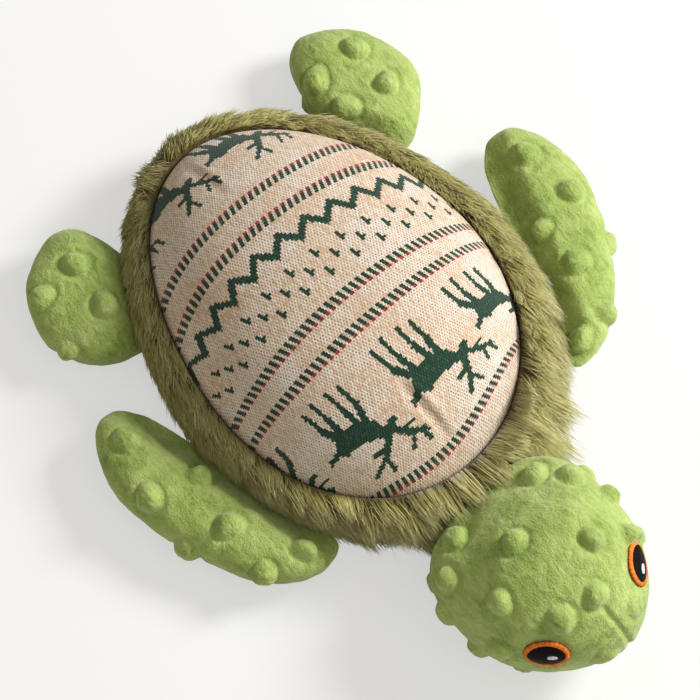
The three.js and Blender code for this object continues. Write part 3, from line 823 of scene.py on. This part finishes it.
HEAD_MIDDLE = np.array([-3.4, -130.0, 32.5])
HEAD_TURN = math.radians(6)
HEAD_ROLL = math.radians(8)
HEAD_LEFT = 35.0
HEAD_RIGHT = 41.0
HEAD_HALF_HEIGHT = 29.5
HEAD_NOSE = 43.6
HEAD_REAR = 38.4
NOSE_ROUNDNESS = 1.8
REAR_ROUNDNESS = 3.0
REAR_SLOPE = 1.6
HEAD_SECTION = 2.2


def head_turning():
    """The head's own directions as the columns of a matrix: rolled, then turned."""
    cos_turn, sin_turn = math.cos(HEAD_TURN), math.sin(HEAD_TURN)
    cos_roll, sin_roll = math.cos(HEAD_ROLL), math.sin(HEAD_ROLL)
    turn = np.array([[cos_turn, -sin_turn, 0], [sin_turn, cos_turn, 0], [0, 0, 1]])
    roll = np.array([[cos_roll, 0, -sin_roll], [0, 1, 0], [sin_roll, 0, cos_roll]])
    return turn @ roll


HEAD_WAYS = head_turning()


def from_head(points):
    return points @ HEAD_WAYS.T + HEAD_MIDDLE


def head_shares(points):
    """Each point of the head's frame as shares of the half sizes on its side."""
    sizes = np.stack([
        np.where(points[:, 0] > 0, HEAD_LEFT, HEAD_RIGHT),
        np.where(points[:, 1] < 0, HEAD_NOSE, HEAD_REAR),
        np.full(len(points), HEAD_HALF_HEIGHT),
    ], axis=-1)
    return points / sizes, sizes


def head_level(shares):
    """1 on the head's surface, less inside and more outside; it slopes down behind its top."""
    across, along, up = np.abs(shares).T
    section = (across ** HEAD_SECTION + up ** HEAD_SECTION) ** (1 / HEAD_SECTION)
    slope = REAR_SLOPE * smooth(shares[:, 2] / np.maximum(section, 1e-9), 0.1, 0.9)
    power = np.where(shares[:, 1] < 0, NOSE_ROUNDNESS, REAR_ROUNDNESS - slope)
    return (section ** power + along ** power) ** (1 / power)


def head_form(way):
    """The head's surface in a direction; way's parts are shares of its half sizes."""
    _, sizes = head_shares(way)
    return way / head_level(way)[:, None] * sizes


def head_spots(spots):
    """Points of the head's surface at places along it (-1 nose, 1 neck) and angles round it."""
    along, angle = np.array(spots, float).T
    angle = np.radians(angle)
    power = np.where(along < 0, NOSE_ROUNDNESS, REAR_ROUNDNESS)
    width = (1 - np.abs(along) ** power) ** (1 / power)
    way = np.stack([
        width * signed_power(np.cos(angle), 2 / HEAD_SECTION), along,
        width * signed_power(np.sin(angle), 2 / HEAD_SECTION)], axis=-1)
    return head_form(way)


DOT_RADIUS = 5.6
DOT_HEIGHT = 3.4
DOT_FLATNESS = 3.2
DOT_ROUGHNESS = 0.13
GROOVE_DEPTH = 0.8
GROOVE_WIDTH = 1.5
FOOT_HEIGHT = 0.4

# Dots of the head: place along it and angle round it, those that show and then those below
HEAD_DOTS = [
    (0.78, 38), (0.40, 30), (0.02, 12), (0.90, 142), (0.28, 98), (-0.24, 65), (-0.41, 27), (0.56, 153),
    (-0.06, 128), (-0.54, 114), (-0.60, 88), (-0.28, 163), (0.36, 178), (-0.86, 50), (-0.95, 172),
    (0.4, 355), (-0.35, 350), (-0.1, 328), (0.35, 315), (-0.6, 318), (-0.35, 290), (0.1, 283),
    (0.5, 262), (-0.15, 247), (-0.65, 255), (0.25, 222), (-0.4, 212), (-0.05, 196), (0.72, 202),
]


def raise_dots(points, out, dots, tallness):
    """How the skin moves where its dots stand: each a flat-topped button with a groove at its foot."""
    moved = np.zeros_like(points)
    rough = 1 + DOT_ROUGHNESS * lumps(points, 1.7, 11)
    for number, (dot, tall) in enumerate(zip(dots, tallness)):
        off = np.linalg.norm(points - dot, axis=1)
        way = unit((out * np.exp(-(off / (0.7 * DOT_RADIUS)) ** 2)[:, None]).sum(axis=0))
        side_way = unit(np.cross(way, [0.3, 0.2, 1.0]))
        turn = np.arctan2((points - dot) @ np.cross(way, side_way), (points - dot) @ side_way)
        uneven = 0.06 * np.cos(2 * turn + 1.7 * number) + 0.05 * np.cos(3 * turn + 2.9 * number)
        size = DOT_RADIUS * (1 + 0.06 * math.sin(2.3 * number) + uneven)
        facing = smooth(out @ way, -0.2, 0.3)
        dome = np.clip(1 - (off / size) ** DOT_FLATNESS, 0, 1) ** 1.2 * rough
        groove = np.exp(-((off - 1.05 * size) / GROOVE_WIDTH) ** 2)
        foot = np.exp(-(off / (2.0 * size)) ** 2)
        lift = tall * ((DOT_HEIGHT - FOOT_HEIGHT) * dome - GROOVE_DEPTH * groove + FOOT_HEIGHT * foot)
        moved += (lift * facing)[:, None] * way
    return moved


def unevenness(points, broadest, seed):
    """Millimetres that the stuffing pushes the skin out or in, as lumps of three sizes."""
    return (0.8 * lumps(points, broadest, seed) + 0.35 * lumps(points, 7, seed + 1)
            + 0.12 * lumps(points, 2.6, seed + 2))


# Seams of the head: over its top, and round the chin panel
TOP_SEAM_WIDTH = 1.3
TOP_SEAM_DEPTH = 1.1
CHIN_SEAM_LEVEL = -18
CHIN_SEAM_WIDTH = 1.2
CHIN_SEAM_DEPTH = 0.7


def make_head():
    head = round_blank("head_plush", 7)
    own = head_form(unit(points_of(head)))
    points = from_head(own)
    set_points(head, points)
    out = normals_of(head)
    seam = np.exp(-(own[:, 0] / TOP_SEAM_WIDTH) ** 2)
    seam = seam * smooth(-own[:, 1], 0.45 * HEAD_NOSE, 0.7 * HEAD_NOSE)
    seam = seam * smooth(own[:, 2], -16, -12)
    spots = head_spots(HEAD_DOTS)
    chin = np.exp(-((own[:, 2] - CHIN_SEAM_LEVEL) / CHIN_SEAM_WIDTH) ** 2)
    dots = raise_dots(points, out, from_head(spots), 1 - 0.6 * smooth(-spots[:, 1], 26, 36))
    off_dots = np.min([np.linalg.norm(own - spot, axis=1) for spot in spots], axis=0)
    seam = seam * smooth(off_dots, 4.0, 7.0)
    eyes = from_head(head_spots(list(EYES.values())))
    near_eye = np.min([np.linalg.norm(points - eye, axis=1) for eye in eyes], axis=0)
    dots = dots * smooth(near_eye, 7.0, 10.5)[:, None]
    lift = -0.7 * (1 - smooth(near_eye, 7.5, 11))
    lift += unevenness(points, 21, 1)
    lift -= TOP_SEAM_DEPTH * seam + CHIN_SEAM_DEPTH * chin
    finish_skin(head, points + dots + out * lift[:, None], plush)
    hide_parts("head_cover_left", "head_cover_right", "chin_panel", "head_filling")
    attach(head, "head")


# Eyes: place along the head and angle round it; each is stitched in rows of satin thread
EYES = {"left": (-0.62, 29), "right": (-0.62, 151)}
EYE_LENGTH = 17.6
EYE_HEIGHT = 14.0
PUPIL_LENGTH = 14.2
PUPIL_HEIGHT = 11.2
GLINT_LENGTH = 3.8
GLINT_HEIGHT = 3.0
GLINT_SHIFT = 2.3
RING_UNDERLAP = 0.7
RING_SLANT = 0.05


def on_oval(turn, half_length, half_height):
    return np.column_stack([np.cos(turn) * half_length, np.sin(turn) * half_height])


class Eye:
    """The plane of an eye on the head, and how a point of it falls on the skin."""

    def __init__(self, side):
        self.side = side
        self.middle = head_spots([EYES[side]])[0]
        step = 0.5
        grow = [head_level(head_shares(self.middle[None] + step * way)[0])[0] for way in np.eye(3)]
        self.out = unit(np.array(grow) - head_level(head_shares(self.middle[None])[0])[0])
        sideways = np.cross(self.out, [0, 0, 1])
        self.ahead = unit(sideways if side == "left" else -sideways)
        self.up = np.cross(self.out, self.ahead) * (1 if side == "right" else -1)

    def on_skin(self, ahead, up, height):
        """Points at a place in the eye's plane, a height above the head's skin."""
        flat = self.middle + ahead[..., None] * self.ahead + up[..., None] * self.up
        flat = flat.reshape(-1, 3)
        low, high = np.full(len(flat), -14.0), np.full(len(flat), 4.0)
        for _ in range(24):
            half = (low + high) / 2
            outside = head_level(head_shares(flat + half[:, None] * self.out)[0]) > 1
            low, high = np.where(outside, low, half), np.where(outside, half, high)
        found = flat + (low + height.reshape(-1))[:, None] * self.out
        return from_head(found).reshape(*ahead.shape, 3)

    def stitch(self, name, ahead, up, height, radius, material, seed):
        chance = np.random.default_rng(seed)
        paths = self.on_skin(ahead, up, height)
        count, rings = ahead.shape
        radii = np.full((count, rings), radius) * np.array([0.7] + [1.0] * (rings - 2) + [0.7])
        upright = np.repeat(from_head(self.out[None]) - from_head(np.zeros((1, 3))), count, axis=0)
        traits = (chance.uniform(0, 1, count), chance.uniform(0, 1, count))
        made = make_threads(f"{name}_{self.side}", paths, radii, upright, traits, 4, material)
        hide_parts(f"{name.replace('_stitches', '')}_{self.side}")
        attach(made, "head")

    def ring(self):
        chance = np.random.default_rng(11)
        turn = np.linspace(0, 2 * math.pi, 132, endpoint=False)
        turn = turn + chance.uniform(-0.012, 0.012, len(turn))
        inner = on_oval(turn, PUPIL_LENGTH / 2 - RING_UNDERLAP, PUPIL_HEIGHT / 2 - RING_UNDERLAP)
        outer = on_oval(turn + RING_SLANT, EYE_LENGTH / 2, EYE_HEIGHT / 2)
        outer = outer * (1 + chance.uniform(-0.02, 0.02, (len(turn), 1)))
        share = np.linspace(0, 1, 5)
        path = inner[:, None] + (outer - inner)[:, None] * share[None, :, None]
        height = np.broadcast_to(np.array([0.0, 0.35, 0.45, 0.3, -0.4]), path.shape[:2])
        self.stitch("eye_ring_stitches", path[..., 0], path[..., 1], height, 0.3,
                    orange_silk, 12)

    def oval(self, name, length, tall, shift, height, radius, pitch, material):
        """Rows of stitches that fill an oval, each over the height of the oval there."""
        count = int(length / pitch)
        ahead = (np.arange(count) + 0.5) / count * length - length / 2
        reach = tall / 2 * np.sqrt(1 - (2 * ahead / length) ** 2)
        share = np.linspace(-1, 1, 7)
        up = reach[:, None] * share
        ahead = np.broadcast_to((ahead + shift)[:, None], up.shape) + 0.05 * up
        lift = height * np.broadcast_to(np.array([0.1, 0.75, 0.97, 1.0, 0.97, 0.75, 0.1]), up.shape)
        self.stitch(name, ahead, up, lift, radius, material, 13)


def make_eyes():
    for side in EYES:
        eye = Eye(side)
        eye.ring()
        eye.oval("eye_pupil_stitches", PUPIL_LENGTH, PUPIL_HEIGHT, 0.0, 1.0, 0.3, 0.36,
                 black_silk)
        eye.oval("eye_glint_stitches", GLINT_LENGTH, GLINT_HEIGHT, GLINT_SHIFT, 1.45, 0.22, 0.36,
                 white_silk)


make_head()
make_eyes()

# Neck: a short stuffed sleeve between the body and the head

NECK_PIVOT = np.array([0.0, -88.0, 18.0])
NECK_SIZE = np.array([25.0, 17.0, 12.6])


def make_neck():
    neck = round_blank("neck_plush", 6)
    points = NECK_PIVOT + points_of(neck) * NECK_SIZE
    set_points(neck, points)
    out = normals_of(neck)
    points = points + out * (0.5 * lumps(points, 9, 8) + 0.15 * lumps(points, 3, 9))[:, None]
    finish_skin(neck, points, plush)
    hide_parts("neck_filling")
    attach(neck, "neck")


make_neck()

# Flippers: each in its own frame, x out from its seam and y along it towards the tail

FLIPPER_HEIGHT = 14.0
FLIPPER_SWELL = 10.5
FLIPPER_BELLY = 9.5
ROUNDED_EDGE = 15.0
CROWN_POWER = 2.4
EDGE_POWER = 2.2

# Seam on the body, then the middle and the dots below, in the flipper's own frame
FLIPPERS = {
    "front": {
        "seam": ([64.9, -54.9], [79.6, -7.1]),
        "centre": (14, 10),
        "below": [(12, 50), (24, 36), (9, 31), (19, 15), (4, 4), (23, -6), (11, -17), (2, -31)],
    },
    "rear": {
        "seam": ([64.3, 42.3], [46.3, 71.7]),
        "centre": (20, 8),
        "below": [(12, -9), (27, -7), (19, 10), (35, 9), (28, 27), (10, 24)],
    },
}
# Stretches of the outlines that the left and right flippers share
FRONT_TIP = [
    [31, 20], [30.2, 35.4], [25, 49], [17.1, 59.1], [9, 63.4], [0.4, 60.8], [-4.4, 51.9],
    [-5.6, 42.5], [-5.6, 33], [-5.4, 22]]
REAR_ROOT = [[12.8, 31.9], [4.4, 24], [-1, 18], [-6, 13]]
OUTLINES = {
    "front_left": [
        [-5, -22], [-4.8, -30], [-4.4, -36], [-2, -39.4], [3.6, -38.6], [13.1, -31.5], [21.4, -19.6],
        [26.2, -7.7], [29.5, 6.8], *FRONT_TIP],
    "front_right": [
        [-5, -22], [-4.8, -32], [-4, -40], [2, -42.5], [10, -41.5], [19.5, -34], [26.5, -22],
        [29.5, -8.5], [31, 6.8], *FRONT_TIP],
    "rear_left": [
        [-6, -13], [0, -17.5], [10.5, -19.5], [23.4, -17], [34.4, -11.1], [40.8, 0.6], [43, 15],
        [39, 28], [31.1, 38], [21.6, 38.6], *REAR_ROOT],
    "rear_right": [
        [-6, -13], [0, -17.5], [10.5, -20.5], [23.4, -18.5], [34.4, -12], [41, 0.6], [42.5, 14],
        [37.5, 26], [30, 35], [21.6, 37], *REAR_ROOT],
}
FLIPPER_DOTS = {
    "front_left": [(14, 48), (24.6, 26.6), (6, 16), (15, -2.5), (30, 4.4), (18, -24), (4, -31)],
    "front_right": [(10.5, 48), (25, 27), (5.5, 16), (17, -5), (31, 5), (7, -34), (24, -26)],
    "rear_left": [(33, 16), (14.6, 26), (23, -1), (7, 10.5)],
    "rear_right": [(23.6, 14.5), (13.7, -4), (38, 3), (29, -16)],
}
# How far each lies from its place in the plain model, as it was put down
LAID = {
    "front_left": (2.6, -0.8), "front_right": (0, -1),
    "rear_left": (0, 2), "rear_right": (-3, -2.4),
}


def smooth_outline(corners, count):
    """A closed curve through the corners, evenly spaced."""
    corners = np.array(corners, float)
    before, after = np.roll(corners, 1, 0), np.roll(corners, -1, 0)
    beyond = np.roll(corners, -2, 0)
    share = np.linspace(0, 1, 24, endpoint=False)[:, None, None]
    curve = 0.5 * (2 * corners + (after - before) * share
                   + (2 * before - 5 * corners + 4 * after - beyond) * share ** 2
                   + (3 * corners - 3 * after + beyond - before) * share ** 3)
    curve = curve.transpose(1, 0, 2).reshape(-1, 2)
    closed = np.vstack([curve, curve[:1]])
    run = np.concatenate([[0], np.cumsum(np.linalg.norm(np.diff(closed, axis=0), axis=1))])
    even = np.linspace(0, run[-1], count, endpoint=False)
    return np.column_stack([np.interp(even, run, closed[:, axis]) for axis in (0, 1)])


class Flipper:
    """One flipper: its frame, x out from its seam and y along it, its outline and its swell."""

    def __init__(self, kind, side):
        self.kind, self.name = kind, f"{kind}_{side}"
        start, end = (np.array(point) for point in FLIPPERS[kind]["seam"])
        self.middle = (start + end) / 2
        self.along = (end - start) / np.linalg.norm(end - start)
        self.out = np.array([self.along[1], -self.along[0]])
        self.sign = 1 if side == "left" else -1
        self.edge = smooth_outline(OUTLINES[self.name], 400)
        self.centre = np.array(FLIPPERS[kind]["centre"], float)
        ray = self.edge - self.centre
        heading = np.unwrap(np.arctan2(ray[:, 1], ray[:, 0]))
        order = np.argsort(heading)
        self.headings, self.rays = heading[order], np.linalg.norm(ray, axis=1)[order]

    def world(self, points, laid=True):
        flat = self.middle + points[:, :1] * self.out + points[:, 1:2] * self.along
        flat[:, 0] *= self.sign
        if laid:
            flat = flat + np.array(LAID[self.name])
        return np.column_stack([flat, FLIPPER_HEIGHT + points[:, 2]])

    def far(self, turn):
        return np.interp(turn, self.headings, self.rays, period=2 * math.pi)

    def rise(self, flat):
        """Share of the full swell at points of the flipper's plane."""
        off = flat - self.centre
        ray = self.far(np.arctan2(off[:, 1], off[:, 0]))
        share = np.clip(np.linalg.norm(off, axis=1) / ray, 0, 1)
        crown = (1 - share ** CROWN_POWER) ** (1 / CROWN_POWER)
        near = np.concatenate([
            np.linalg.norm(part[:, None] - self.edge[None], axis=2).min(axis=1)
            for part in np.array_split(flat, 1 + len(flat) // 2500)])
        near = np.minimum(near, (1 - share) * ray)
        even = (1 - (1 - np.clip(near / ROUNDED_EDGE, 0, 1)) ** EDGE_POWER) ** (1 / EDGE_POWER)
        return (0.5 * crown + 0.5 * even) * (0.12 + 0.88 * smooth(flat[:, 0], -4, 9))

    def dots(self):
        """The dots on top, where they show, and those below."""
        top = np.array(FLIPPER_DOTS[self.name], float)
        below = np.array(FLIPPERS[self.kind]["below"], float)
        raised = np.column_stack([top, FLIPPER_SWELL * self.rise(top)])
        lowered = np.column_stack([below, -FLIPPER_BELLY * self.rise(below)])
        return np.concatenate([self.world(raised, laid=False), self.world(lowered)])


def make_flipper(kind, side):
    flipper = Flipper(kind, side)
    name = flipper.name
    skin = round_blank(f"{name}_flipper_plush", 7)
    ball = points_of(skin)
    turn = np.arctan2(ball[:, 1], ball[:, 0])
    tilt = 1 - np.abs(np.arccos(np.clip(ball[:, 2], -1, 1)) / (math.pi / 2) - 1)
    share = np.sin(tilt * math.pi / 2) ** 0.9
    ray = np.column_stack([np.cos(turn), np.sin(turn)])
    flat = flipper.centre + (share * flipper.far(turn))[:, None] * ray
    height = flipper.rise(flat) * np.where(ball[:, 2] > 0, FLIPPER_SWELL, -FLIPPER_BELLY)
    points = flipper.world(np.column_stack([flat, height]))
    if flipper.sign < 0:
        skin.data.flip_normals()
    set_points(skin, points)
    out = normals_of(skin)
    dots = flipper.dots()
    dots = raise_dots(points, out, dots, np.ones(len(dots)))
    lift = unevenness(points, 19, 4)
    lift -= 0.25 * np.exp(-(height / 2.0) ** 2) * smooth(flat[:, 0], 0, 4)
    points = points + dots + out * lift[:, None]
    points[:, 2] = np.maximum(points[:, 2], FLOOR_CLEARANCE + 0.2)
    finish_skin(skin, points, plush)
    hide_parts(f"{name}_top_panel", f"{name}_under_panel", f"{name}_filling", f"{name}_seam_tab")
    hinge = flipper.world(np.array([[-3.0, 0, 0], [4.0, 0, 0]])) * MM
    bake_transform(skin)


for kind in ("front", "rear"):
    for side in ("left", "right"):
        make_flipper(kind, side)

# Belly: a plush panel stretched over the stuffing, its dots pressed flat where it lies

BELLY_INSET = 24.5
BELLY_CLOTH = 1.0
BELLY_DOT_PITCH = 24.0
BELLY_DOT_RADIUS = 5.6


def make_belly():
    rounds, steps = 240, 60
    turn = np.linspace(0, 2 * math.pi, rounds, endpoint=False)
    share = np.linspace(0, 1, steps + 1)[1:]
    middle = np.array([0, BODY_MIDDLE])
    rim = egg(turn, BELLY_INSET)
    flat = middle + share[None, :, None] * (rim - middle)[:, None]
    flat = np.concatenate([[middle], flat.reshape(-1, 2)])
    away = np.concatenate([[0], np.broadcast_to(share, (rounds, steps)).ravel()])
    row = np.round(flat[:, 1] / (BELLY_DOT_PITCH * 0.5))
    dot_x = (flat[:, 0] + row * BELLY_DOT_PITCH / 2) / BELLY_DOT_PITCH
    dot_x = (dot_x - np.round(dot_x)) * BELLY_DOT_PITCH
    dot_y = flat[:, 1] - row * BELLY_DOT_PITCH * 0.5
    off = np.hypot(dot_x, dot_y)
    pressed = np.exp(-((off - BELLY_DOT_RADIUS) / 0.9) ** 2)
    soft = lumps(np.column_stack([flat, np.zeros(len(flat))]), 16, 9)
    low = 0.5 + 0.7 * pressed + 0.35 * (soft + 1) + 1.1 * smooth(away, 0.9, 1.0)
    edge = np.clip((1 - away) * 20, 0, 1) ** 0.5
    lower = np.column_stack([flat, low + 0.5 * BELLY_CLOTH * (1 - edge)])
    upper = np.column_stack([flat, low + 0.5 * BELLY_CLOTH * (1 + edge)])
    count = len(flat)
    faces = []
    for number in range(rounds):
        here, there = 1 + number * steps, 1 + (number + 1) % rounds * steps
        faces.append([0, there, here])
        faces.append([count, count + here, count + there])
        for step in range(steps - 1):
            a, b, c, d = here + step, here + step + 1, there + step + 1, there + step
            faces += [[a, c, b], [a, d, c]]
            faces += [[count + a, count + b, count + c], [count + a, count + c, count + d]]
        a, b = here + steps - 1, there + steps - 1
        faces += [[a, b, count + b], [a, count + b, count + a]]
    belly = mesh_piece("belly_plush", np.concatenate([lower, upper]), np.array(faces))
    belly.data.materials.append(plush)
    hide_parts("belly_panel")
    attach(belly, "torso")


make_belly()

for node, material in squeaker_skins.items():
    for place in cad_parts[node].material_slots:
        place.material = material

# Light, floor and background

FLOOR_SHINE_THROUGH = 0.55
WORLD_LIGHT = 0.28
WARM_LIGHT = (1, 0.92, 0.76, 1)
WHITE_LIGHT = (1, 1, 1, 1)


def background_rays(tree):
    """1 for a ray from the camera or off a glossy surface, which sees the white studio."""
    rays = tree.nodes.new("ShaderNodeLightPath")
    seen = tree.nodes.new("ShaderNodeMath")
    seen.operation = "MAXIMUM"
    tree.links.new(rays.outputs["Is Camera Ray"], seen.inputs[0])
    tree.links.new(rays.outputs["Is Glossy Ray"], seen.inputs[1])
    return seen.outputs[0]


def between(tree, share, low, high):
    """A number from low to high by a share."""
    scaled = tree.nodes.new("ShaderNodeMapRange")
    scaled.inputs["To Min"].default_value = low
    scaled.inputs["To Max"].default_value = high
    tree.links.new(share, scaled.inputs["Value"])
    return scaled.outputs[0]


def make_stage():
    bpy.ops.object.select_all(action="DESELECT")
    bpy.ops.mesh.primitive_plane_add(size=6, location=(0, 0, 0))
    floor = bpy.context.object
    floor.name = "floor"
    paint = Paint("pale_floor", Roughness=0.95, Specular_IOR_Level=0.0)
    paint.colour(rgb(250, 250, 249))
    tree = paint.tree
    white = paint.node("ShaderNodeEmission", inputs={"Color": WHITE_LIGHT, "Strength": 1.0})
    share = between(tree, background_rays(tree), 0.0, FLOOR_SHINE_THROUGH)
    mixed = paint.node("ShaderNodeMixShader", inputs={0: share, 1: paint.shader.outputs[0],
                                                      2: white.outputs[0]})
    tree.links.new(mixed.outputs[0], tree.nodes["Material Output"].inputs["Surface"])
    floor.data.materials.append(paint.material)


def make_lamp(name, place, size, power):
    bpy.ops.object.light_add(type="AREA", location=place)
    lamp = bpy.context.object
    lamp.name = name
    lamp.data.size = size
    lamp.data.energy = power
    lamp.rotation_euler = (Vector((0, 0, 0.03)) - Vector(place)).to_track_quat("-Z", "Y").to_euler()


def make_world():
    world = bpy.data.worlds.new("studio")
    bpy.context.scene.world = world
    world.use_nodes = True
    tree = world.node_tree
    background = tree.nodes["Background"]
    seen = background_rays(tree)
    tree.links.new(between(tree, seen, WORLD_LIGHT, 1.0), background.inputs["Strength"])
    tint = tree.nodes.new("ShaderNodeMix")
    tint.data_type = "RGBA"
    tint.inputs[6].default_value = WARM_LIGHT
    tint.inputs[7].default_value = WHITE_LIGHT
    tree.links.new(seen, tint.inputs[0])
    tree.links.new(tint.outputs[2], background.inputs["Color"])


make_stage()
make_world()
make_lamp("key_lamp", place=(1.09, -0.36, 0.88), size=0.45, power=22)
make_lamp("fill_lamp", place=(0.0, -1.0, 1.5), size=1.2, power=3.2)
bpy.context.scene.view_settings.view_transform = "Standard"
